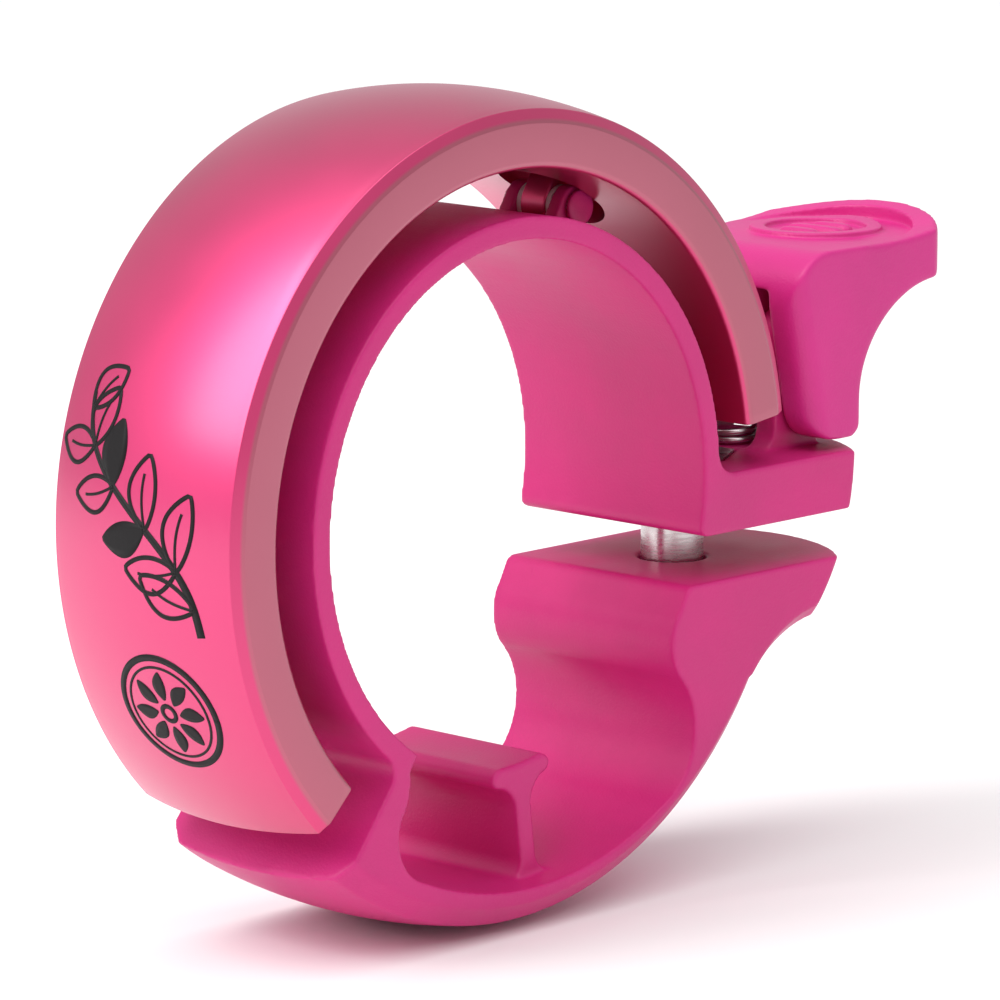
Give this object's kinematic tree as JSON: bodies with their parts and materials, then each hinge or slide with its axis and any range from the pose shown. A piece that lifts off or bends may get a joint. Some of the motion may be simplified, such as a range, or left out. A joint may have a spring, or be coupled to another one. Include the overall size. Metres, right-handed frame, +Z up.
{
  "type": "handlebar ring bell",
  "caption": "Ring bell for a round handlebar: C-shaped metal gong on a split clamp band, with a sprung thumb lever and hammer pin.",
  "frame": {"origin": "centre of the clamp band, on the axis of the handlebar, at the middle of the bell's width", "axes": "+Y along the handlebar, +X towards the clamp flanges and the lever, +Z up through the top of the gong"},
  "size_m": [0.0663, 0.0152, 0.0497],
  "materials": {
    "bracket_plastic": "moulded satin pink",
    "lever_plastic": "moulded satin pink",
    "gong_metal": "bead-blasted and anodised pink",
    "steel": "bright zinc",
    "spring_steel": "bright drawn wire",
    "bush_rubber": "matt black",
    "washer_nylon": "natural nylon"
  },
  "bodies": {
    "bracket": {"bracket": "bracket_plastic", "gong": "gong_metal", "gong_pin_upper": "steel", "gong_pin_rear": "steel", "gong_bush_upper": "bush_rubber", "gong_bush_rear": "bush_rubber", "washer_upper_left": "washer_nylon", "washer_upper_right": "washer_nylon", "washer_rear_left": "washer_nylon", "washer_rear_right": "washer_nylon", "pin_clip_upper": "steel", "pin_clip_rear": "steel", "pivot_pin": "steel", "return_spring": "spring_steel", "clamp_nut": "steel"},
    "lever": {"lever": "lever_plastic", "hammer_pin": "steel"},
    "clamp_washer": {"clamp_washer": "steel"},
    "clamp_bolt": {"clamp_bolt": "steel"}
  },
  "joints": [
    {"name": "lever_swing", "type": "hinge", "parent": "bracket", "child": "lever", "pos_m": [0.0281, 0, 0.0067], "axis": [0, -1, 0], "range_deg": [-8, 20], "stiffness_Nm_per_rad": 0.02, "deforming": ["return_spring"]},
    {"name": "bolt_back_out", "type": "slide", "parent": "bracket", "child": "clamp_washer", "axis": [0, 0, -1], "range_m": [0, 0.0025]},
    {"name": "bolt_turn", "type": "hinge", "parent": "clamp_washer", "child": "clamp_bolt", "pos_m": [0.0213, 0, -0.0098], "axis": [0, 0, -1], "range_deg": [0, 1290]}
  ],
  "couplings": [
    {"joint": "bolt_turn", "follows": "bolt_back_out", "rad_per_m": 8976}
  ]
}
